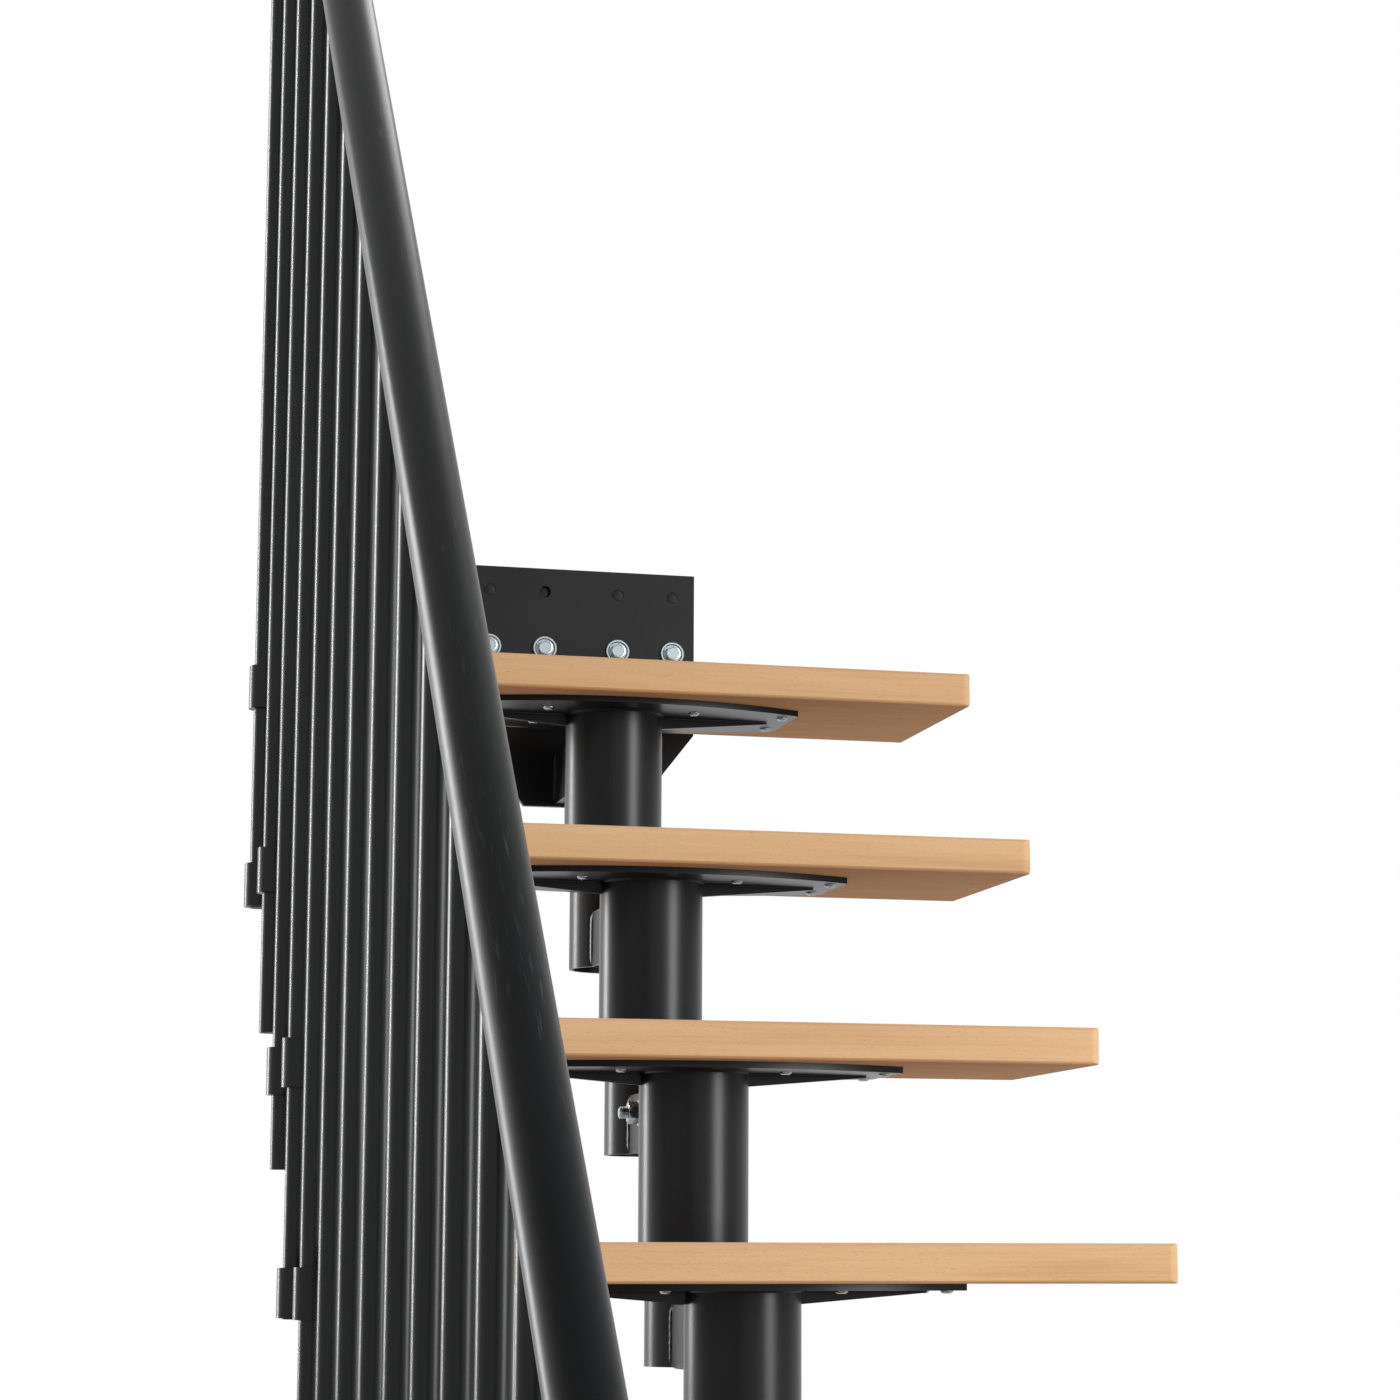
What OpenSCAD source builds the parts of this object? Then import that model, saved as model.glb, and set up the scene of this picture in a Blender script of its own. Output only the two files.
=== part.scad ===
// Modular centre-spine staircase: solid wood treads on telescoping steel tube modules,
// a bracket plate at the landing and an upright tube rail down the left side.
// Millimetres. +X is to the right of a person going up, +Y is the way up, +Z is up.
// The origin is the centre of the floor plate's underside, below the first tube.

/* [Flight] */
// Number of treads; the landing is one more rise above the last
tread_count = 10; // [4:1:12]
// Height from one tread to the next
rise = 198; // [190:1:240]
// Level step from one tread to the next
going = 192; // [160:1:230]

/* [Treads] */
// Length of a tread across the stairs
tread_length = 710; // [600:5:900]
// Depth of a tread from nosing to rear edge
tread_depth = 258; // [210:1:310]
// Thickness of a tread
tread_t = 34; // [28:1:45]
// Radius of a tread's upright corners
tread_corner_r = 10; // [4:1:20]
// Chamfer round a tread's upper and lower edges
tread_chamfer = 2.5; // [1:0.5:5]
// Gap between a tread's rear edge and the next tube
rear_gap = 9; // [5:1:15]

/* [Spine modules] */
// Outside diameter of the outer tubes
tube_d = 101.6; // [89:0.1:121]
// Wall of the outer tubes
tube_wall = 6; // [4:0.5:8]
// Clearance between a spigot and the tube that slides over it
slide_gap = 0.35; // [0.25:0.05:0.6]
// Wall of the spigots
spigot_wall = 4; // [3:0.5:6]
// How far an outer tube ends below the top of the tread in front of it
tube_drop = 25; // [20:1:34]
// Length of spigot inside the tube above it
spigot_overlap = 110; // [90:1:130]
// Side of the square box arm
arm_side = 56; // [48:1:70]
// Wall of the box arm
arm_wall = 5; // [3:0.5:6]
// Gap between the ribs' lower edge at the tube and the arm's top
arm_gap = 1; // [1:0.5:6]

/* [Tread plates] */
// Length of the steel plate under a tread
plate_length = 375; // [320:1:420]
// Depth of the plate at the tube
plate_mid_depth = 192; // [160:1:210]
// Depth of the plate at its two ends
plate_end_depth = 104; // [80:1:150]
// Thickness of the plate
plate_t = 6; // [4:0.5:8]
// Thickness of the ribs under the plate
rib_t = 6; // [4:0.5:8]
// Height of a rib where it meets the tube
rib_root = 12; // [8:1:20]
// Height of a rib at its outer end
rib_tip = 2; // [1:0.5:5]
// Reach of a rib from the tube's axis
rib_reach = 165; // [120:1:180]
// Diameter of the wood screw holes
screw_hole_d = 7; // [5:0.5:9]
// Distance of the inner screw holes from the tube's axis
inner_screw_x = 77; // [70:1:90]
// Distance of the outer screw holes from the tube's axis
outer_screw_x = 174; // [150:1:180]
// Distance of the inner screw holes from the plate's middle line
inner_screw_y = 45; // [30:1:60]
// Distance of the outer screw holes from the plate's middle line
outer_screw_y = 36; // [25:1:45]

/* [Floor plate] */
// Side of the square floor plate
floor_plate_side = 240; // [200:5:300]
// Thickness of the floor plate
floor_plate_t = 10; // [6:1:15]
// Radius of the floor plate's corners
floor_plate_corner_r = 12; // [5:1:25]
// Spacing of the four anchor holes
anchor_spacing = 180; // [150:5:200]
// Diameter of the anchor holes
anchor_hole_d = 13; // [9:1:17]

/* [Landing bracket] */
// Width of the bracket plate
bracket_width = 256; // [240:1:320]
// Height of the bracket plate
bracket_height = 266; // [250:1:320]
// Thickness of the bracket plate
bracket_t = 8; // [6:1:12]
// Height of the bracket plate's top above the last tread
bracket_top = 154; // [100:1:180]
// Width of the bracket plate's lower edge
bracket_foot = 124; // [90:1:160]
// Height of the bracket plate's cut-off corners
bracket_chamfer_h = 85; // [60:1:110]
// Diameter of the bracket plate's holes
bracket_hole_d = 13; // [9:1:15]
// Distance of the upper row of holes below the plate's top
upper_row = 26; // [20:1:40]
// Distance of the lower row of holes below the plate's top
lower_row = 90; // [70:1:110]
// Spacing of the two inner holes of a row
inner_holes = 82; // [60:1:110]
// Spacing of the two outer holes of a row
outer_holes = 206; // [180:1:220]

/* [Rail] */
// Distance of the balusters' axis outside the treads' left end
rail_offset = 19; // [17:1:60]
// Height of the handrail's axis above the line through the linking balusters' lower collars
rail_height = 1288; // [1100:1:1400]
// Diameter of the handrail
handrail_d = 42.4; // [38:0.1:55]
// Wall of the handrail
handrail_wall = 2; // [1.5:0.5:4]
// Length of handrail past the first and the last baluster, measured level
handrail_end = 110; // [60:5:200]
// Length of a handrail end cap
cap_length = 8; // [4:1:14]
// Diameter of a baluster
baluster_d = 22; // [18:0.5:28]
// Wall of a baluster
baluster_wall = 2; // [1:0.5:3]
// Gap between a baluster's top and the handrail
seat_gap = 0.3; // [0.2:0.05:0.5]
// Balusters for every two treads
balusters_per_pair = 3; // [2:1:4]

/* [Collars] */
// Outside diameter of a collar
collar_d = 32; // [28:1:40]
// Height of a collar
collar_h = 43; // [30:1:50]
// Depth of a collar's middle below its tread's top
collar_drop = 42; // [36:1:55]
// Width of the flat bar that ties a collar to its tread
bar_width = 30; // [20:1:40]
// Thickness of the flat bar
bar_t = 6; // [4:0.5:8]
// Length of flat bar under the tread
bar_grip = 70; // [50:1:90]
// Clearance round a baluster in its collar, and round a plug in its tube
fit_gap = 0.3; // [0.2:0.05:0.4]
// Length of a plug inside its tube
plug_length = 15; // [8:1:25]

/* [Hidden] */
$fn = 96;
cut = 1;                                    // how far a cutter runs past a face
steel_black = [0.06, 0.06, 0.065];
beech = [0.80, 0.62, 0.42];
tube_r = tube_d / 2;
tube_id = tube_d - 2 * tube_wall;
spigot_d = tube_id - 2 * slide_gap;
spigot_id = spigot_d - 2 * spigot_wall;

// Heights below a tread's top
plate_top = -tread_t;
plate_bottom = plate_top - plate_t;
arm_top = plate_bottom - rib_root - arm_gap;
arm_bottom = arm_top - arm_side;
spigot_top = -tube_drop + spigot_overlap;

// Depths from a tube's axis
tread_rear = going - tube_r - rear_gap;
tread_mid = tread_rear - tread_depth / 2;
bracket_face = going;

// The pitch line runs through the lower collar of each linking baluster, which stands
// half way between two tubes and is clamped to both treads there.
slope = rise / going;
pitch = atan(slope);
link_y = going / 2;
link_z = rise - collar_drop;
baluster_step = 2 * going / balusters_per_pair;
first_baluster = -1;
last_baluster = balusters_per_pair * floor(tread_count / 2 - 1);
rail_x = -tread_length / 2 - rail_offset;
last_tube_y = (tread_count - 1) * going;

function two(k) = str(k < 10 ? "0" : "", k);
function module_name(k) = str("spine_module_", two(k));
function tread_name(k) = str("tread_", two(k));
function baluster_name(j) = str("baluster_", two(j - first_baluster + 1));
function tube_y(k) = (k - 1) * going;
function tread_z(k) = k * rise;

function baluster_y(j) = link_y + j * baluster_step;
function pitch_z(y) = link_z + slope * (y - link_y);
// The first baluster stands on the floor; the others end just under the pitch line
function baluster_foot(j) =
    j == first_baluster ? 0 : pitch_z(baluster_y(j)) - collar_h / 2 - 1;

// A tread holds a baluster that stands over it with room for the flat bar
function tread_holds(k, y) =
    abs(y - tube_y(k) - tread_mid) <= tread_depth / 2 - bar_width / 2;
function holders(y) = [for (k = [1 : tread_count]) if (tread_holds(k, y)) k];

// A rectangle about the origin with true round corners
module round_rect(size, r) {
    square([size.x - 2 * r, size.y], center = true);
    square([size.x, size.y - 2 * r], center = true);
    for (sx = [-1, 1], sy = [-1, 1])
        translate([sx * (size.x / 2 - r), sy * (size.y / 2 - r)])
            circle(r);
}

// A rectangle about the origin with cut corners
module cut_rect(size, c) {
    w = size.x / 2;
    h = size.y / 2;
    polygon([
        [-w + c, -h], [w - c, -h], [w, -h + c], [w, h - c],
        [w - c, h], [-w + c, h], [-w, h - c], [-w, -h + c]
    ]);
}

module tube(d, id, length) {
    difference() {
        cylinder(d = d, h = length);
        translate([0, 0, -cut])
            cylinder(d = id, h = length + 2 * cut);
    }
}

// Plate outline: straight ends, front and rear edges bowed outwards as arcs
module tread_plate_outline() {
    bow = (plate_mid_depth - plate_end_depth) / 2;
    arc_r = plate_length * plate_length / (8 * bow) + bow / 2;
    intersection() {
        square([plate_length, plate_mid_depth], center = true);
        translate([0, arc_r - plate_mid_depth / 2])
            circle(arc_r, $fn = 360);
        translate([0, plate_mid_depth / 2 - arc_r])
            circle(arc_r, $fn = 360);
    }
}

module screw_holes() {
    for (sx = [-1, 1], sy = [-1, 1]) {
        translate([sx * inner_screw_x, sy * inner_screw_y])
            circle(d = screw_hole_d);
        translate([sx * outer_screw_x, sy * outer_screw_y])
            circle(d = screw_hole_d);
    }
}

module tread_plate() {
    translate([0, tread_mid, plate_bottom])
        linear_extrude(plate_t)
            difference() {
                tread_plate_outline();
                screw_holes();
            }
}

// Two tapered ribs that stand under the plate, one each side of the tube
module ribs() {
    for (side = [0, 1])
        mirror([side, 0, 0])
            translate([0, rib_t / 2, plate_bottom])
                rotate([90, 0, 0])
                    linear_extrude(rib_t)
                        polygon([
                            [tube_r - tube_wall / 2, 0], [rib_reach, 0],
                            [rib_reach, -rib_tip], [tube_r - tube_wall / 2, -rib_root]
                        ]);
}

// Square hollow arm from the tube's wall back to a given depth
module box_arm(reach) {
    translate([0, 0, (arm_top + arm_bottom) / 2])
        rotate([-90, 0, 0])
            linear_extrude(reach)
                difference() {
                    square(arm_side, center = true);
                    square(arm_side - 2 * arm_wall, center = true);
                }
}

// One welded module: plate, ribs, outer tube, box arm and the spigot for the next tube.
// The first stands on the floor plate, and the last carries the landing bracket.
module spine_module(k) {
    is_last = k == tread_count;
    tube_bottom = k == 1 ? floor_plate_t - rise : -rise - tube_drop;
    arm_reach = is_last ? bracket_face - bracket_t : going;
    color(steel_black)
        translate([0, tube_y(k), tread_z(k)]) {
            tread_plate();
            difference() {
                union() {
                    translate([0, 0, tube_bottom])
                        cylinder(d = tube_d, h = plate_bottom - tube_bottom);
                    box_arm(arm_reach);
                    ribs();
                    if (!is_last)
                        translate([0, going, arm_bottom])
                            cylinder(d = spigot_d, h = spigot_top - arm_bottom);
                }
                translate([0, 0, tube_bottom - cut])
                    cylinder(d = tube_id, h = plate_bottom - tube_bottom + cut);
                if (!is_last)
                    translate([0, going, arm_bottom - cut])
                        cylinder(d = spigot_id, h = spigot_top - arm_bottom + 2 * cut);
            }
        }
}

// Solid wood tread: round upright corners, chamfered upper and lower edges
module tread(k) {
    color(beech)
        translate([0, tube_y(k) + tread_mid, tread_z(k) - tread_t / 2])
            intersection() {
                linear_extrude(tread_t, center = true)
                    round_rect([tread_length, tread_depth], tread_corner_r);
                rotate([90, 0, 0])
                    linear_extrude(tread_depth, center = true)
                        cut_rect([tread_length, tread_t], tread_chamfer);
                rotate([90, 0, 90])
                    linear_extrude(tread_length, center = true)
                        cut_rect([tread_depth, tread_t], tread_chamfer);
            }
}

// Anchored plate with the spigot of the first tube
module floor_plate() {
    spigot_length = spigot_overlap;
    color(steel_black) {
        difference() {
            linear_extrude(floor_plate_t)
                round_rect([floor_plate_side, floor_plate_side], floor_plate_corner_r);
            for (sx = [-1, 1], sy = [-1, 1])
                translate([sx, sy, 0] * anchor_spacing / 2 - [0, 0, cut])
                    cylinder(d = anchor_hole_d, h = floor_plate_t + 2 * cut);
        }
        translate([0, 0, floor_plate_t])
            tube(spigot_d, spigot_id, spigot_length);
    }
}

// Plate that bolts to the edge of the upper floor, welded on the last box arm
module landing_bracket() {
    low = bracket_top - bracket_height;
    knee = low + bracket_chamfer_h;
    w = bracket_width / 2;
    f = bracket_foot / 2;
    color(steel_black)
        translate([0, last_tube_y + bracket_face, tread_z(tread_count)])
            rotate([90, 0, 0])
                linear_extrude(bracket_t)
                    difference() {
                        polygon([
                            [-f, low], [f, low], [w, knee],
                            [w, bracket_top], [-w, bracket_top], [-w, knee]
                        ]);
                        for (x = [inner_holes, outer_holes] / 2, side = [-1, 1])
                            for (row = [upper_row, lower_row])
                                translate([side * x, bracket_top - row])
                                    circle(d = bracket_hole_d);
                    }
}

// Moves a piece to height z on a baluster's axis
module on_baluster(y, z) {
    translate([rail_x, y, z])
        children();
}

// Places a piece with +Z up the handrail's axis, at the level distance y
module on_handrail(y) {
    translate([rail_x, y, pitch_z(y) + rail_height])
        rotate([pitch - 90, 0, 0])
            children();
}

// Level distance to the length along the slope
function along(y) = y / cos(pitch);

module handrail_cutter(r) {
    y = baluster_y(first_baluster) - 2 * handrail_end;
    length = along(baluster_y(last_baluster) - y + 2 * handrail_end);
    on_handrail(y)
        cylinder(r = r, h = length);
}

// Round tube from its foot up to a saddle cut under the handrail
module baluster(j) {
    y = baluster_y(j);
    foot = baluster_foot(j);
    length = pitch_z(y) + rail_height - foot;
    color(steel_black)
        difference() {
            on_baluster(y, foot)
                tube(baluster_d, baluster_d - 2 * baluster_wall, length);
            handrail_cutter(handrail_d / 2 + seat_gap);
        }
}

// Plastic plugs that close the lower ends of the hanging balusters
module baluster_plugs() {
    plug_d = baluster_d - 2 * baluster_wall - 2 * fit_gap;
    color(steel_black)
        for (j = [first_baluster + 1 : last_baluster])
            on_baluster(baluster_y(j), baluster_foot(j))
                cylinder(d = plug_d, h = plug_length);
}

// One collar round a baluster, with the flat bar screwed under its tread
module collar(k, y) {
    z = tread_z(k) - collar_drop;
    bar_end = -tread_length / 2 + bar_grip;
    difference() {
        union() {
            on_baluster(y, z)
                cylinder(d = collar_d, h = collar_h, center = true);
            translate([rail_x, y - bar_width / 2, tread_z(k) + plate_top - bar_t])
                cube([bar_end - rail_x, bar_width, bar_t]);
        }
        on_baluster(y, z)
            cylinder(d = baluster_d + 2 * fit_gap, h = 2 * collar_h, center = true);
    }
}

module rail_collars() {
    color(steel_black)
        for (j = [first_baluster : last_baluster])
            for (k = holders(baluster_y(j)))
                collar(k, baluster_y(j));
}

module handrail() {
    start = baluster_y(first_baluster) - handrail_end;
    end = baluster_y(last_baluster) + handrail_end;
    color(steel_black)
        on_handrail(start)
            tube(handrail_d, handrail_d - 2 * handrail_wall, along(end - start));
}

// Round caps that close both ends of the handrail
module handrail_caps() {
    start = baluster_y(first_baluster) - handrail_end;
    end = baluster_y(last_baluster) + handrail_end;
    plug_d = handrail_d - 2 * handrail_wall - 2 * fit_gap;
    color(steel_black)
        for (place = [[start, 180], [end, 0]])
            on_handrail(place[0])
                rotate([place[1], 0, 0]) {
                    cylinder(d = handrail_d, h = cap_length);
                    translate([0, 0, -plug_length])
                        cylinder(d = plug_d, h = plug_length + cut);
                }
}

floor_plate();
for (k = [1 : tread_count])
    spine_module(k);
for (k = [1 : tread_count])
    tread(k);
landing_bracket();
for (j = [first_baluster : last_baluster])
    baluster(j);
baluster_plugs();
rail_collars();
handrail();
handrail_caps();
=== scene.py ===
import math

import bmesh
import bpy
import numpy as np
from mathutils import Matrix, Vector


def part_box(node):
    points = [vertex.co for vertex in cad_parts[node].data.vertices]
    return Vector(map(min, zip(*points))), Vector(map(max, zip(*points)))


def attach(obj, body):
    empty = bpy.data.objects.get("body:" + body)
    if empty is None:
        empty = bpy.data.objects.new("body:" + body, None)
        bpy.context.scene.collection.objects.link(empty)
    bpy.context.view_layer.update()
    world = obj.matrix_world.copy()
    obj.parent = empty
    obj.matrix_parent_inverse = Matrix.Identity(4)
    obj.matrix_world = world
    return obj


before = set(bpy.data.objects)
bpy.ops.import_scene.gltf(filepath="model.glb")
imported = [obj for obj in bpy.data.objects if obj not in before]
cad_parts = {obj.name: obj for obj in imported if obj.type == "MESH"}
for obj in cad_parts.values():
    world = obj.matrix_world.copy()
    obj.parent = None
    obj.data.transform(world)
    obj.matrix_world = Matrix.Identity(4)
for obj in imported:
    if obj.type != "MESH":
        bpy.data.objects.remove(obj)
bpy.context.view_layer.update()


# ---- Treads ----------------------------------------------------------------------
# Ten solid beech treads, glued up from full-length staves and lacquered matt.
# Their corners are rounded and their edges chamfered; each is screwed down from below.

TREADS = sorted(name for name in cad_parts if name.startswith("tread_"))
FIRST_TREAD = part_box(TREADS[0])
SECOND_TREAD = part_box(TREADS[1])
RISE = SECOND_TREAD[1].z - FIRST_TREAD[1].z
GOING = SECOND_TREAD[1].y - FIRST_TREAD[1].y
TREAD_COUNT = len(TREADS)
TREAD_MID = (FIRST_TREAD[0].y + FIRST_TREAD[1].y) / 2
TREAD_T = FIRST_TREAD[1].z - FIRST_TREAD[0].z
TREAD_END = FIRST_TREAD[1].x

STAVE_WIDTH = 0.043
STAVE_STAGGER = 0.031          # shift of the staves from one tread to the next
GLUE_LINE = 0.010              # part of a stave's width
RING_SPACING = 0.0024
BELOW_TREAD = 0.05             # a tread's number starts this far under its top
BEECH_LIGHT = (0.700, 0.455, 0.255, 1)
BEECH_MID = (0.635, 0.392, 0.204, 1)
BEECH_DARK = (0.515, 0.295, 0.143, 1)
BEECH_FLECK = (0.36, 0.19, 0.09, 1)
# Painted shade on the treads' undersides
BEECH_UNDERSIDE_SHADE = (0.385, 0.190, 0.088, 1)
BEECH_END_LIGHT = (0.55, 0.345, 0.19, 1)
BEECH_END_DARK = (0.43, 0.25, 0.125, 1)


class Wire:
    """One output in a finish. Sums on it add Math nodes to that finish."""

    def __init__(self, finish, socket):
        self.finish = finish
        self.socket = socket

    def math(self, operation, *values):
        return self.finish.node("Math", {"operation": operation}, dict(enumerate(values)))

    def out(self, index):
        """Another output of the same node."""
        return Wire(self.finish, self.socket.node.outputs[index])

    def __add__(self, other):
        return self.math("ADD", self, other)

    def __sub__(self, other):
        return self.math("SUBTRACT", self, other)

    def __mul__(self, other):
        return self.math("MULTIPLY", self, other)

    def __truediv__(self, other):
        return self.math("DIVIDE", self, other)

    __radd__ = __add__
    __rmul__ = __mul__

    def floor(self):
        return self.math("FLOOR", self)

    def size(self):
        return self.math("ABSOLUTE", self)

    def step(self, start, end):
        """0 below start and 1 above end, smooth between; falls when start is above end."""
        return self.finish.node(
            "MapRange", {"interpolation_type": "SMOOTHSTEP"}, {0: self, 1: start, 2: end}
        )


class Finish:
    """A material on one principled shader, with its fixed values on the shader's sockets."""

    def __init__(self, name, **fixed):
        self.material = bpy.data.materials.new(name)
        self.material.use_nodes = True
        self.tree = self.material.node_tree
        self.shader = self.tree.nodes["Principled BSDF"]
        for socket, value in fixed.items():
            self.shader.inputs[socket.replace("_", " ")].default_value = value
        self.place = self.node("TexCoord", out=3)

    def node(self, kind, settings=None, sockets=None, out=0):
        """Any node: its settings first, then the values or wires of its sockets."""
        made = self.tree.nodes.new("ShaderNode" + kind)
        for key, value in (settings or {}).items():
            if key == "stops":
                ramp = made.color_ramp.elements
                while len(ramp) < len(value):
                    ramp.new(0.5)
                for element, (position, colour) in zip(ramp, value):
                    element.position = position
                    element.color = colour
            else:
                setattr(made, key, value)
        for key, value in (sockets or {}).items():
            if isinstance(value, Wire):
                self.tree.links.new(value.socket, made.inputs[key])
            else:
                made.inputs[key].default_value = value
        return Wire(self, made.outputs[out])

    def noise(self, scale, detail=3.0, distortion=0.0, place=None):
        """Noise from 0 to 1 with its own number of lumps a metre along x, y and z."""
        stretched = self.node(
            "Mapping", None, {"Vector": place or self.place, "Scale": scale}
        )
        return self.node(
            "TexNoise",
            None,
            {"Vector": stretched, "Scale": 1.0, "Detail": detail, "Distortion": distortion},
        )

    def mix(self, amount, first, second):
        return self.node(
            "Mix", {"data_type": "RGBA"}, {0: amount, 6: first, 7: second}, out=2
        )

    def bump(self, height, depth, strength):
        """Surface relief: depth in metres for a height of 1."""
        return self.node(
            "Bump", None, {"Height": height, "Distance": depth, "Strength": strength}
        )

    def ends_in(self, **wires):
        for socket, wire in wires.items():
            self.tree.links.new(wire.socket, self.shader.inputs[socket.replace("_", " ")])
        return self.material


def give(names, material):
    for name in names:
        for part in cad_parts[name].material_slots:
            part.material = material


def beech_finish():
    """Straight beech grain along x in staves across y, with growth rings on the ends."""
    wood = Finish("beech_clear_lacquer", Specular_IOR_Level=0.15)
    along = wood.node("SeparateXYZ", None, {0: wood.place})
    across = along.out(1)
    height = along.out(2)
    tread = ((height + BELOW_TREAD) / RISE).floor()
    below_top = tread * RISE - height
    staves = (across + STAVE_STAGGER * tread) / STAVE_WIDTH
    stave = staves.floor()
    stave_part = staves - stave
    own = wood.node(
        "TexWhiteNoise",
        {"noise_dimensions": "3D"},
        {0: wood.node("CombineXYZ", None, {0: stave, 1: tread})},
    )
    shifted = wood.node(
        "VectorMath",
        {"operation": "ADD"},
        {0: wood.place, 1: wood.node("CombineXYZ", None, {0: own * 7.0, 1: own * 0.4})},
    )
    grain = wood.noise((1.5, 34, 34), detail=5.0, distortion=0.5, place=shifted)
    fine = wood.noise((9, 420, 420), detail=3.0, place=shifted)
    fleck = wood.noise((190, 1500, 1500), detail=1.0).step(0.64, 0.72)
    tone = wood.node(
        "ValToRGB",
        {"stops": [(0.30, BEECH_DARK), (0.47, BEECH_MID), (0.68, BEECH_LIGHT)]},
        {0: grain * 0.75 + fine * 0.25},
    )
    tone = wood.mix(own * 0.30, tone, BEECH_DARK)
    tone = wood.mix(fleck * 0.40, tone, BEECH_FLECK)
    tone = wood.mix(stave_part.step(GLUE_LINE, 0.0) * 0.35, tone, BEECH_FLECK)
    heart = wood.node(
        "CombineXYZ",
        None,
        {
            1: (stave_part - own * 2.4) * STAVE_WIDTH,
            2: own * 0.09 - below_top,
        },
    )
    ring = wood.node("VectorMath", {"operation": "LENGTH"}, {0: heart}, out=1)
    phase = ring * (2 * math.pi / RING_SPACING)
    ring = phase.math("SINE", phase)
    # Painted shade: the underside is darker, redder and mottled, as it lies in shade; it is
    # also rougher
    shaded_underside = below_top.step(TREAD_T - 0.0020, TREAD_T - 0.0004)
    shade_mottle = wood.noise((14, 60, 60), detail=5.0, distortion=0.8, place=shifted)
    tone = wood.mix(shaded_underside * (0.50 + shade_mottle * 0.45), tone, BEECH_UNDERSIDE_SHADE)
    sawn = along.size().step(TREAD_END - 0.0014, TREAD_END - 0.0006)
    end_tone = wood.mix(ring * 0.5 + 0.5, BEECH_END_LIGHT, BEECH_END_DARK)
    return wood.ends_in(
        Base_Color=wood.mix(sawn, tone, end_tone),
        Roughness=0.50 + grain * 0.12 + shaded_underside * 0.25,
        Normal=wood.bump(fine * 0.6 - fleck * 0.5, 0.0003, 0.25),
    )


give(TREADS, beech_finish())


# ---- Spine, plates and rail steel ------------------------------------------------
# Welded steel tube modules that slide over one another, the floor plate, the landing
# bracket, the balusters and their collars: all powder coated satin black after welding.

STEEL_BLACK = (0.0030, 0.0034, 0.0042, 1)
STEEL_RUBBED = (0.040, 0.042, 0.046, 1)
STEEL_SCUFFED = (0.20, 0.205, 0.21, 1)
SPINE = sorted(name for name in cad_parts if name.startswith("spine_module_"))
BALUSTERS = sorted(
    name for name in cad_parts
    if name.startswith("baluster_") and name != "baluster_plugs"
)


def black_coat_finish(name, shine, rubbed, scuffed, lean=0.0):
    """Satin black coat with orange peel, cloudy handling marks and fine pale scuffs,
    which run along a tube that leans by an angle from the upright."""
    coat = Finish(name, Specular_IOR_Level=shine)
    tube = coat.node("Mapping", None, {"Vector": coat.place, "Rotation": (lean, 0, 0)})
    peel = coat.noise((750, 750, 750), detail=2.0)
    cloud = coat.noise((7, 7, 5), detail=5.0)
    patch = coat.noise((26, 26, 5), detail=4.0, place=tube).step(0.50, 0.66)
    speck = coat.noise((420, 420, 36), detail=4.0, distortion=0.3, place=tube).step(0.54, 0.70)
    worn = patch * speck
    tone = coat.mix(cloud.step(0.42, 0.75) * rubbed, STEEL_BLACK, STEEL_RUBBED)
    tone = coat.mix(worn * scuffed, tone, STEEL_SCUFFED)
    return coat.ends_in(
        Base_Color=tone,
        Roughness=0.27 + cloud * 0.08 + worn * (0.25 * scuffed),
        Normal=coat.bump(peel - worn * (0.4 * scuffed), 0.00010, 0.30),
    )


black_coat = black_coat_finish("black_powder_coat", shine=0.24, rubbed=0.06, scuffed=0.03)
give(["floor_plate", "landing_bracket", "rail_collars"] + SPINE + BALUSTERS, black_coat)


# ---- Handrail --------------------------------------------------------------------
# One long round tube with the same coat, handled and knocked more than the rest,
# so its surface carries pale scuffs and rubbed patches.

PITCH = math.atan2(RISE, GOING)
give(
    ["handrail"],
    black_coat_finish("black_powder_coat_handled", 0.09, 0.03, 0.13, lean=math.pi / 2 - PITCH),
)


# ---- Plugs and handrail caps -----------------------------------------------------
# Moulded black plastic, pushed into the tubes' open ends, with a fine spark texture.

PLASTIC_BLACK = (0.007, 0.007, 0.008, 1)
PLASTIC_PALE = (0.013, 0.013, 0.014, 1)


def black_plastic_finish():
    """Matt black plastic, evenly stippled."""
    plastic = Finish("black_plastic_stippled", Specular_IOR_Level=0.2)
    stipple = plastic.noise((1600, 1600, 1600), detail=2.0)
    cloud = plastic.noise((40, 40, 40), detail=3.0)
    return plastic.ends_in(
        Base_Color=plastic.mix(cloud, PLASTIC_BLACK, PLASTIC_PALE),
        Roughness=0.48 + stipple * 0.14,
        Normal=plastic.bump(stipple, 0.00015, 0.5),
    )


black_plastic = black_plastic_finish()
give(["baluster_plugs", "handrail_caps"], black_plastic)


# ---- Welds on the spine ----------------------------------------------------------
# Rippled fillet beads run round each tube under its tread plate, round both ends of
# each box arm, and along the ribs; they are coated with the module.

TUBE_R = 0.0508
SPIGOT_R = 0.04445
PLATE_T = 0.006
PLATE_BOTTOM = -TREAD_T - PLATE_T          # from a tread's top, as ARM_MID is
ARM_HALF = 0.028
ARM_UNDER_PLATE = 0.013
ARM_MID = PLATE_BOTTOM - ARM_UNDER_PLATE - ARM_HALF
RIB_HALF = 0.003
RIB_REACH = 0.165
SPINE_BEAD_R = 0.0020
BEAD_ROUND = 6
RIPPLE = 0.06
SHARP_FROM = math.radians(38)
SAME_POINT = 2e-6


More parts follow.
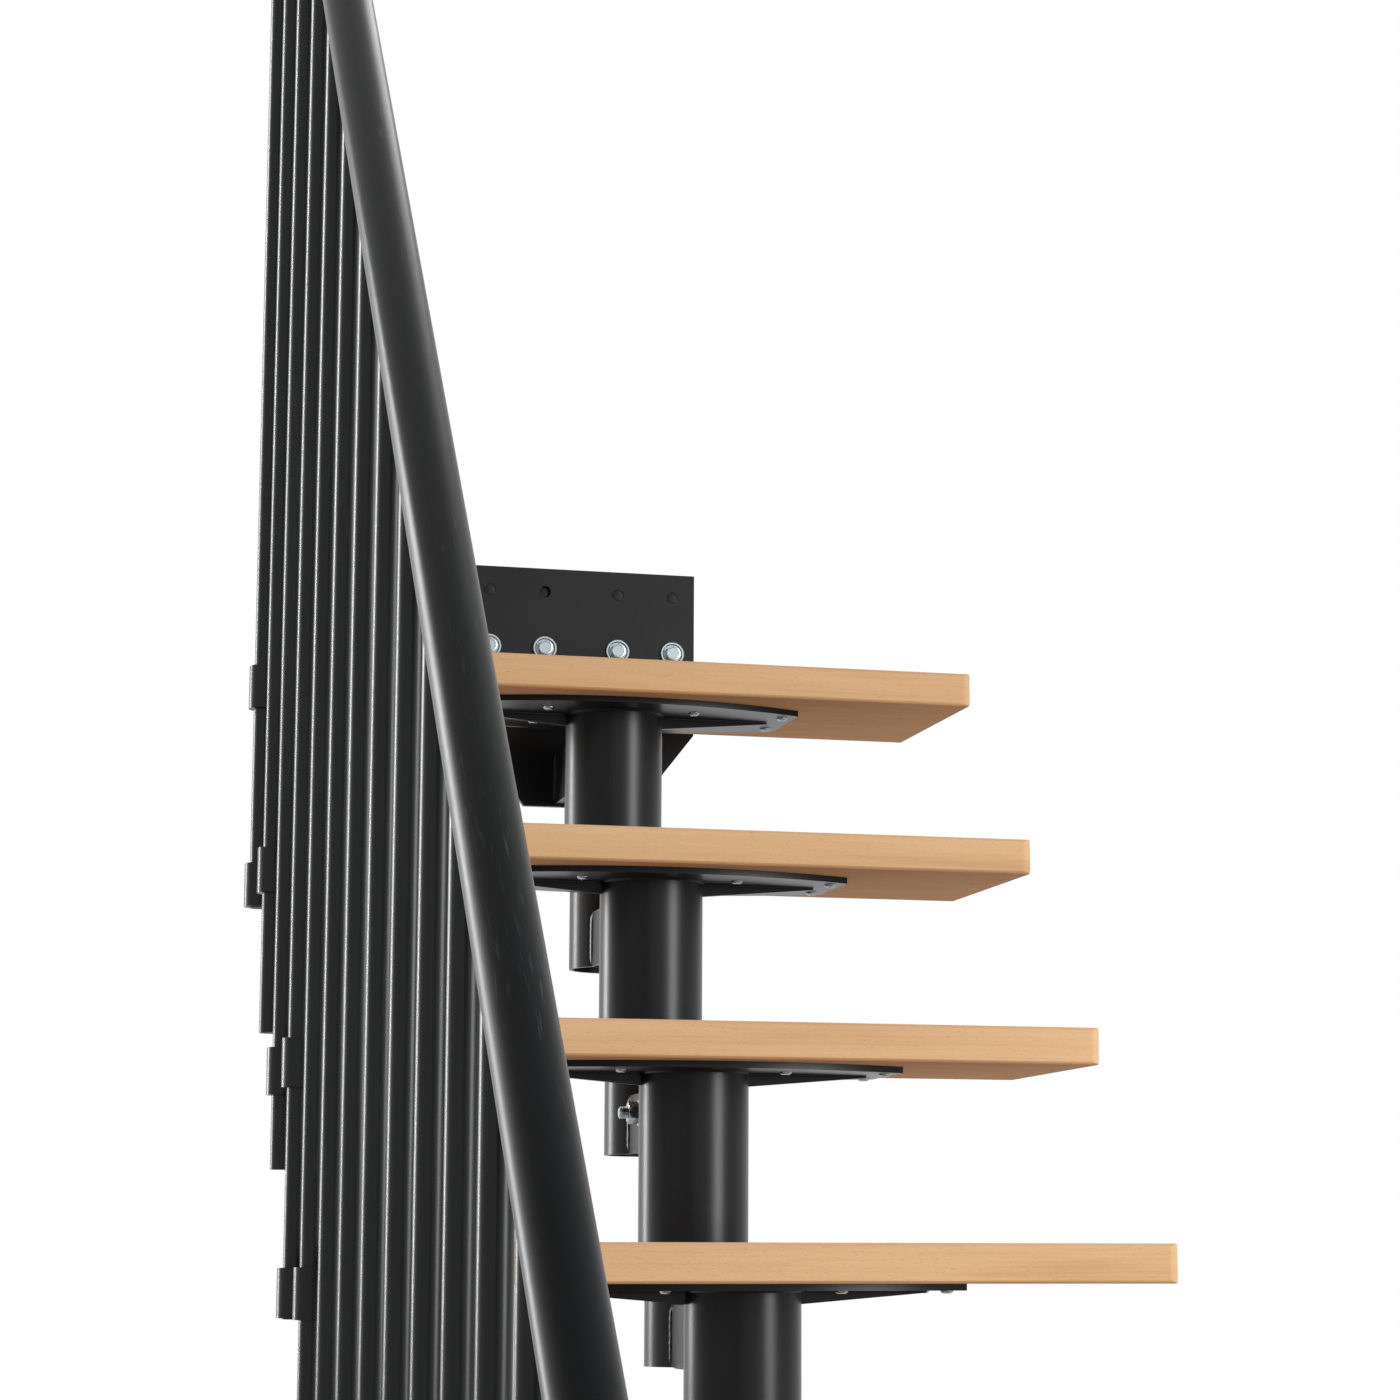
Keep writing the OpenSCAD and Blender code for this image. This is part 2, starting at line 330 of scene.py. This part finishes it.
def skin(name, grids, material):
    """Makes one piece from grids of points (copies, rows, columns, xyz): each row is
    joined to the next and the last column to the first, and doubled points are merged."""
    points, faces, start = [], [], 0
    for grid in grids:
        index = start + np.arange(grid[..., 0].size).reshape(grid.shape[:3])
        near, far = index[:, :-1], index[:, 1:]
        corners = [near, np.roll(near, -1, 2), np.roll(far, -1, 2), far]
        faces.append(np.stack(corners, -1).reshape(-1, 4))
        points.append(grid.reshape(-1, 3))
        start += index.size
    mesh = bpy.data.meshes.new(name)
    mesh.from_pydata(np.concatenate(points).tolist(), [], np.concatenate(faces).tolist())
    shell = bmesh.new()
    shell.from_mesh(mesh)
    bmesh.ops.remove_doubles(shell, verts=shell.verts, dist=SAME_POINT)
    bmesh.ops.recalc_face_normals(shell, faces=shell.faces)
    shell.to_mesh(mesh)
    shell.free()
    mesh.shade_smooth()
    mesh.set_sharp_from_angle(angle=SHARP_FROM)
    mesh.materials.append(material)
    piece = bpy.data.objects.new(name, mesh)
    bpy.context.scene.collection.objects.link(piece)
    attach(piece, "root")
    return piece


def unit(vectors):
    return vectors / np.linalg.norm(vectors, axis=-1, keepdims=True)


def bead(path, outward, ripples, bead_r=SPINE_BEAD_R, closed=True):
    """A round carried along a path: point = path + r (cos a out + sin a side), where r
    swells and shrinks with each ripple, and falls to nothing at the ends of an open path."""
    part = np.arange(len(path)) / (len(path) if closed else len(path) - 1)
    radius = bead_r * (1 + RIPPLE * np.cos(2 * np.pi * ripples * part))
    if closed:
        heading = unit(np.roll(path, -1, 0) - np.roll(path, 1, 0))
    else:
        heading = unit(np.gradient(path, axis=0))
        radius = radius * np.clip(np.sin(np.pi * part), 0, 1) ** 0.2
    out = unit(outward - (outward * heading).sum(-1, keepdims=True) * heading)
    side = np.cross(heading, out)
    turn = np.linspace(0, 2 * np.pi, BEAD_ROUND, endpoint=False)[:, None]
    rounds = path[:, None] + radius[:, None, None] * (
        np.cos(turn) * out[:, None] + np.sin(turn) * side[:, None]
    )
    return np.concatenate([rounds, rounds[:1]]) if closed else rounds


def square_path(half, count, power=9.0):
    """A rounded square: across = half sgn(cos t) |cos t|^(2/p), up likewise with sin t."""
    t = np.linspace(0, 2 * np.pi, count, endpoint=False)
    c, s = np.cos(t), np.sin(t)
    across = half * np.sign(c) * abs(c) ** (2 / power)
    up = half * np.sign(s) * abs(s) ** (2 / power)
    # Even steps along the outline, since the formula crowds its points
    run = np.cumsum(np.hypot(np.diff(across, append=across[0]), np.diff(up, append=up[0])))
    even = np.linspace(0, run[-1], count, endpoint=False)
    run = np.concatenate([[0], run])
    across = np.interp(even, run, np.append(across, across[0]))
    return across, np.interp(even, run, np.append(up, up[0]))


turn = np.linspace(0, 2 * np.pi, 200, endpoint=False)
level = np.stack([np.cos(turn), np.sin(turn), 0 * turn], -1)
under_plate = bead(TUBE_R * level + [0, 0, PLATE_BOTTOM], level, 40)

across, up = square_path(ARM_HALF, 160)
on_tube = np.stack([across, np.sqrt(TUBE_R**2 - across**2), ARM_MID + up], -1)
arm_start = bead(on_tube, on_tube * [1, 1, 0], 30)
on_spigot = np.stack([across, GOING - np.sqrt(SPIGOT_R**2 - across**2), ARM_MID + up], -1)
arm_end = bead(on_spigot, (on_spigot - [0, GOING, 0]) * [1, 1, 0], 30)

reach = np.linspace(TUBE_R, RIB_REACH, 60)
rib_lines = [
    bead(
        np.stack([way * reach, 0 * reach + side * RIB_HALF, 0 * reach + PLATE_BOTTOM], -1),
        np.array([[0, side, -1.0]]) / math.sqrt(2) + 0 * reach[:, None],
        15,
        closed=False,
    )
    for way in (-1, 1)
    for side in (-1, 1)
]

modules = np.arange(TREAD_COUNT)[:, None] * [0, GOING, RISE] + [0, 0, RISE]
on_every = modules[:, None, None]
weld_grids = [under_plate + on_every, arm_start + on_every, arm_end + on_every[:-1]]
weld_grids += [line + on_every for line in rib_lines]

# The last arm ends square on the landing bracket's front face
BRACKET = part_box("landing_bracket")
on_bracket = np.stack([across, 0 * up + BRACKET[0].y, RISE * TREAD_COUNT + ARM_MID + up], -1)
weld_grids.append(bead(on_bracket, np.array([[0, -1.0, 0]]) + 0 * on_bracket, 30)[None])
skin("spine_welds", weld_grids, black_coat)


# ---- Tread screws ----------------------------------------------------------------
# Zinc-plated pan-head wood screws with a six-lobe recess, driven up through each plate
# into the tread, and two more through each of the rail collars' flat bars.

PLATE_SCREWS = [(0.077, 0.045), (0.174, 0.036)]        # from the plate's middle
BAR_SCREWS = (0.018, 0.050)                            # from the tread's left end
BAR_T = 0.006
HOLD_REACH = 0.114             # a tread's half depth less half a bar's width
ZINC_BRIGHT = (0.47, 0.52, 0.55, 1)
ZINC_DULL = (0.26, 0.30, 0.33, 1)


def zinc_finish():
    """Bright zinc plate with a faint cloudy passivation."""
    zinc = Finish("zinc_plate", Metallic=1.0)
    cloud = zinc.noise((160, 160, 160), detail=4.0)
    rub = zinc.noise((900, 900, 900), detail=2.0)
    return zinc.ends_in(
        Base_Color=zinc.mix(cloud, ZINC_BRIGHT, ZINC_DULL),
        Roughness=0.20 + cloud * 0.14,
        Normal=zinc.bump(rub, 0.00006, 0.3),
    )


def turned(profile, around=36, flats=0, across_flats=0.0):
    """Turns rows of (radius, height, lobe) about +Z. The radius swells by lobe cos 6t,
    and with flats it stays inside a regular polygon that is across_flats wide."""
    profile = np.array([row if len(row) == 3 else (*row, 0.0) for row in profile])
    t = np.linspace(0, 2 * np.pi, around, endpoint=False)
    radius = profile[:, :1] * (1 + profile[:, 2:] * np.cos(6 * t))
    if flats:
        side = 2 * np.pi / flats
        flat = across_flats / 2 / np.cos((t + side / 2) % side - side / 2)
        radius = np.minimum(radius, flat)
    height = profile[:, 1:2] + 0 * t
    return np.stack([radius * np.cos(t), radius * np.sin(t), height], -1)


def placed(shape, where, towards):
    """Copies of a turned shape, one at each point, its +Z turned towards a direction."""
    where = np.atleast_2d(where)
    z = np.broadcast_to(np.array(towards, float), where.shape)
    x = unit(np.cross(np.where(abs(z[:, 2:]) > 0.9, [1.0, 0, 0], [0, 0, 1.0]), z))
    basis = np.stack([x, np.cross(z, x), z], 1)
    return np.einsum("rci,kij->krcj", shape, basis) + where[:, None, None]


zinc = zinc_finish()
SCREW_HEAD = turned(
    [
        (0, 0.0009), (0.0017, 0.0009, 0.16), (0.0018, 0.0026, 0.16), (0.0029, 0.0026),
        (0.0041, 0.0023), (0.0050, 0.0017), (0.0056, 0.0009), (0.0058, 0.0), (0.0, -0.0006),
    ]
)
screw_spots = np.array(
    [(wx * x, TREAD_MID + wy * y, PLATE_BOTTOM)
     for x, y in PLATE_SCREWS for wx in (-1, 1) for wy in (-1, 1)]
)
tread_screws = (modules[:, None] + screw_spots).reshape(-1, 3)
skin("tread_screws", [placed(SCREW_HEAD, tread_screws, [0, 0, -1])], zinc)

# A baluster stands every two thirds of a step; those half way between two tubes hold
# both treads
FIRST_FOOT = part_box(BALUSTERS[0])
RAIL_X = (FIRST_FOOT[0].x + FIRST_FOOT[1].x) / 2
BALUSTER_R = (FIRST_FOOT[1].x - FIRST_FOOT[0].x) / 2
rail_y = np.array([(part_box(name)[0].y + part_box(name)[1].y) / 2 for name in BALUSTERS])
tread_y = modules[:, 1] + TREAD_MID
held = abs(rail_y[:, None] - tread_y) <= HOLD_REACH
held_rail, held_tread = np.nonzero(held)
bar_screws = np.array(
    [(-TREAD_END + inset, rail_y[r], modules[t, 2] - TREAD_T - BAR_T)
     for r, t in zip(held_rail, held_tread) for inset in BAR_SCREWS]
)
skin("collar_bar_screws", [placed(SCREW_HEAD, bar_screws, [0, 0, -1])], zinc)


# ---- Collar set screws -----------------------------------------------------------
# Each collar grips its baluster with two small black socket screws, which face up the
# flight.

COLLAR_R = 0.016
COLLAR_DROP = 0.042
SET_SCREW_LIFTS = (-0.012, 0.012)
SET_SCREW = turned(
    [
        (0, 0.0002), (0.0014, 0.0002), (0.0015, 0.0012), (0.0024, 0.0013),
        (0.0027, 0.0010), (0.0027, -0.0008), (0, -0.0008),
    ]
)
set_screws = np.array(
    [(RAIL_X, rail_y[r] + COLLAR_R, modules[t, 2] - COLLAR_DROP + lift)
     for r, t in zip(held_rail, held_tread) for lift in SET_SCREW_LIFTS]
)
skin(
    "collar_set_screws",
    [placed(SET_SCREW, set_screws, [0, 1, 0])],
    black_coat,
)


# ---- Bolts through the box arms --------------------------------------------------
# One M12 zinc-plated stud, nut and washer clamps each arm from the side, turn about,
# on the left of the even modules and the right of the odd ones.

M12_FLATS = 0.0185
M12_WASHER_T = 0.0025
THREAD_DEPTH = 0.0011
STUD_CHAMFER = 0.0009
M12_WASHER = turned(
    [(0.0062, 0.0), (0.0122, 0.0), (0.0128, 0.0004), (0.0128, 0.0021), (0.0123, 0.0025),
     (0.0066, 0.0025), (0.0062, 0.0021), (0.0062, 0.0)]
)
M12_NUT = turned(
    [(0, 0.0), (0.0095, 0.0), (0.0101, 0.0005), (0.0107, 0.0011), (0.0107, 0.0092),
     (0.0101, 0.0098), (0.0095, 0.0103), (0.0089, 0.0106), (0.0066, 0.0106), (0.0062, 0.0100),
     (0, 0.0100)],
    flats=6,
    across_flats=M12_FLATS,
)


def threaded(radius, start, end, pitch):
    """A stud about +Z: radius falls by a tooth's height times the distance of
    (height / pitch - turn) from a whole number, which makes one running helix."""
    rows = int((end - start) / pitch * 5)
    t = np.linspace(0, 2 * np.pi, 24, endpoint=False)
    height = np.linspace(start, end, rows)[:, None] + 0 * t
    phase = height / pitch - t / (2 * np.pi)
    radii = radius - THREAD_DEPTH * 2 * abs(phase - np.round(phase))
    stud = np.stack([radii * np.cos(t), radii * np.sin(t), height], -1)
    lower = stud[:1] * [0, 0, 1]
    chamfer = stud[-1:] * [0.8, 0.8, 1] + [0, 0, STUD_CHAMFER]
    return np.concatenate([lower, stud, chamfer, chamfer * [0, 0, 1]])


M12_STUD = threaded(0.006, -0.004, 0.0205, 0.00175)
ARM_BOLT_Y = 0.103
ARM_BOLT_LIFT = 0.009
arm_bolt = np.array([0, ARM_BOLT_Y, ARM_MID + ARM_BOLT_LIFT])
bolt_grids = []
for side, first in ((1, 0), (-1, 1)):
    spots = modules[first:-1:2] + arm_bolt + [side * ARM_HALF, 0, 0]
    facing = [side, 0, 0]
    bolt_grids += [
        placed(M12_WASHER, spots, facing),
        placed(M12_NUT + [0, 0, M12_WASHER_T], spots, facing),
        placed(M12_STUD, spots, facing),
    ]
skin("arm_bolts", bolt_grids, zinc)


# ---- Landing bolts ---------------------------------------------------------------
# Four zinc hexagon bolts with wide dished washers fix the bracket's lower row of holes
# to the edge of the upper floor; the upper row has no bolts.

BOLT_X = np.array([-0.103, -0.041, 0.041, 0.103])
LOWER_ROW = 0.090
DISH_SEAT = 0.0018             # height of the washer's dished middle
DISHED_WASHER = turned(
    [(0.0060, 0.0), (0.0126, 0.0), (0.0131, 0.0006), (0.0131, 0.0030), (0.0126, 0.0034),
     (0.0112, 0.0034), (0.0100, 0.0020), (0.0060, 0.0018), (0.0060, 0.0)]
)
BOLT_HEAD = turned(
    [(0, 0.0), (0.0088, 0.0), (0.0088, 0.0052), (0.0083, 0.0060), (0.0077, 0.0066),
     (0.0064, 0.0068), (0.0060, 0.0060), (0.0, 0.0060)],
    flats=6,
    across_flats=0.0150,
)
spots = np.stack(
    [BOLT_X, 0 * BOLT_X + BRACKET[0].y, 0 * BOLT_X + BRACKET[1].z - LOWER_ROW], -1
)
skin(
    "landing_bolts",
    [
        placed(DISHED_WASHER, spots, [0, -1, 0]),
        placed(BOLT_HEAD + [0, 0, DISH_SEAT], spots, [0, -1, 0]),
    ],
    zinc,
)


# ---- Bracket hole shade plugs ----------------------------------------------------
# Painted shade: black plastic discs fill the bracket's spare upper holes and stand for the
# shade seen through them; one is pushed in deeper, for a darker hole.

UPPER_ROW = 0.026
# How deep each black disc of painted shade sits in its hole
SHADE_PLUG_DEPTHS = np.array([0.0004, 0.0050, 0.0004, 0.0004])
HOLE_SHADE_PLUG = turned(
    [(0, 0.0), (0.0052, 0.0), (0.0062, -0.0004), (0.0064, -0.0010), (0.0064, -0.0026),
     (0, -0.0026)]
)
spots = np.stack(
    [BOLT_X, BRACKET[0].y + SHADE_PLUG_DEPTHS, 0 * BOLT_X + BRACKET[1].z - UPPER_ROW], -1
)
skin(
    "bracket_hole_shade_plugs",
    [placed(HOLE_SHADE_PLUG, spots, [0, -1, 0])],
    black_plastic,
)


# ---- Floor anchors ---------------------------------------------------------------
# Four M12 studs set in the floor stand up through the floor plate's corners, each
# with a washer and a nut.

ANCHOR = 0.090
FLOOR_PLATE_T = 0.010
spots = np.array(
    [(sx * ANCHOR, sy * ANCHOR, FLOOR_PLATE_T) for sx in (-1, 1) for sy in (-1, 1)]
)
skin(
    "floor_anchor_nuts",
    [
        placed(M12_WASHER, spots, [0, 0, 1]),
        placed(M12_NUT + [0, 0, M12_WASHER_T], spots, [0, 0, 1]),
        placed(M12_STUD, spots, [0, 0, 1]),
    ],
    zinc,
)


# ---- Baluster welds --------------------------------------------------------------
# Each baluster's saddle cut is welded to the underside of the handrail with a small
# bead, which is ground and coated.

HANDRAIL_R = 0.0212
RAIL_HEIGHT = 1.288
RIM_BEAD_R = 0.0013
turn = np.linspace(0, 2 * np.pi, 60, endpoint=False)
rim_x, rim_y = BALUSTER_R * np.cos(turn), BALUSTER_R * np.sin(turn)
# Height of the handrail's underside over a point: (dy sin p - sqrt(r^2 - dx^2)) / cos p
rim_z = (rim_y * math.sin(PITCH) - np.sqrt(HANDRAIL_R**2 - rim_x**2)) / math.cos(PITCH)
rim = np.stack([rim_x, rim_y, rim_z], -1)
rim_bead = bead(rim, rim * [1, 1, 0], 14, RIM_BEAD_R)
tops = np.stack(
    [
        0 * rail_y + RAIL_X,
        rail_y,
        RISE - COLLAR_DROP + (rail_y - GOING / 2) * RISE / GOING + RAIL_HEIGHT,
    ],
    -1,
)
skin("baluster_welds", [rim_bead + tops[:, None, None]], black_coat)


# ---- Floor -----------------------------------------------------------------------
# A plain pale studio floor under the stair. The camera sees it part lit, with the stair's
# shadow, and part plain white, so that it joins the white room behind.

FLOOR_HALF = 6.0
FLOOR_MID = 1.0                # along the flight
FLOOR_WHITENESS = 0.72
FLOOR_GLOW = 0.97
FLOOR_GREYS = ((0.70, 0.70, 0.70, 1), (0.72, 0.72, 0.72, 1))
mesh = bpy.data.meshes.new("studio_floor")
mesh.from_pydata(
    [(x * FLOOR_HALF, y * FLOOR_HALF + FLOOR_MID, 0)
     for x, y in ((-1, -1), (1, -1), (1, 1), (-1, 1))],
    [],
    [(0, 1, 2, 3)],
)
floor = bpy.data.objects.new("studio_floor", mesh)
bpy.context.scene.collection.objects.link(floor)
paper = Finish("studio_floor_paper", Roughness=0.9)
speckle = paper.noise((3, 3, 3), detail=2.0)
mesh.materials.append(paper.ends_in(Base_Color=paper.mix(speckle, *FLOOR_GREYS)))
glow = paper.node("Emission", None, {"Color": (1, 1, 1, 1), "Strength": FLOOR_GLOW})
lit = Wire(paper, paper.shader.outputs[0])
whitened = paper.node("LightPath") * FLOOR_WHITENESS
surface = paper.node("MixShader", None, {0: whitened, 1: lit, 2: glow})
paper.tree.links.new(surface.socket, paper.tree.nodes["Material Output"].inputs["Surface"])


# ---- Light -----------------------------------------------------------------------
# A soft box from the front right, one from high behind, a narrow one from the left, and
# a white room. Reflections and the camera see the room brighter than it lights.

ROOM_FILL = 0.36
WHITE = (1, 1, 1, 1)
# Name, place, aim, width, height and power in watts
LAMPS = [
    ("key_soft_box", (2.7, -1.9, 2.4), (0.0, 1.4, 1.6), 1.3, 2.8, 165.0),
    ("high_back_box", (0.9, 4.4, 5.4), (0.0, 1.2, 1.6), 2.4, 1.6, 60.0),
    ("left_strip", (-2.8, 4.0, 2.6), (0.0, 1.4, 1.8), 0.35, 3.0, 130.0),
]
for name, place, aim, width, tall, power in LAMPS:
    light = bpy.data.lights.new(name, "AREA")
    light.shape = "RECTANGLE"
    light.size, light.size_y = width, tall
    light.energy = power
    lamp = bpy.data.objects.new(name, light)
    bpy.context.scene.collection.objects.link(lamp)
    lamp.visible_camera = False
    back = unit(np.array(place) - np.array(aim))
    lamp.location = place
    lamp.rotation_euler = (math.acos(back[2]), 0, math.atan2(back[0], -back[1]))

world = bpy.data.worlds.new("white_room")
bpy.context.scene.world = world
world.use_nodes = True
nodes, links = world.node_tree.nodes, world.node_tree.links
fill = nodes["Background"]
fill.inputs["Color"].default_value = WHITE
fill.inputs["Strength"].default_value = ROOM_FILL
white = nodes.new("ShaderNodeBackground")
white.inputs["Color"].default_value = WHITE
white.inputs["Strength"].default_value = 1.0
ray = nodes.new("ShaderNodeLightPath")
seen = ray.outputs["Is Camera Ray"]
for kind in ("Is Glossy Ray", "Is Transmission Ray"):
    either = nodes.new("ShaderNodeMath")
    either.operation = "MAXIMUM"
    links.new(seen, either.inputs[0])
    links.new(ray.outputs[kind], either.inputs[1])
    seen = either.outputs[0]
choice = nodes.new("ShaderNodeMixShader")
links.new(seen, choice.inputs[0])
links.new(fill.outputs[0], choice.inputs[1])
links.new(white.outputs[0], choice.inputs[2])
links.new(choice.outputs[0], nodes["World Output"].inputs["Surface"])


# ---- Camera ----------------------------------------------------------------------
# At eye height left of the stair, looking up at the underside of the upper treads.

CAMERA_PLACE = (-0.708, -1.739, 1.358)
CAMERA_YAW = math.radians(14.68)
CAMERA_PITCH = math.radians(8.81)
CAMERA_LENS = 87.53
CAMERA_SHIFT = (-0.07, 0.035)
camera = bpy.data.cameras.new("camera")
camera.sensor_width = 36.0
camera.lens = CAMERA_LENS
camera.shift_x, camera.shift_y = CAMERA_SHIFT
camera.clip_end = 60.0
eye = bpy.data.objects.new("camera", camera)
bpy.context.scene.collection.objects.link(eye)
eye.location = CAMERA_PLACE
eye.rotation_euler = (math.pi / 2 + CAMERA_PITCH, 0, -CAMERA_YAW)
bpy.context.scene.camera = eye
bpy.context.scene.view_settings.view_transform = "Standard"
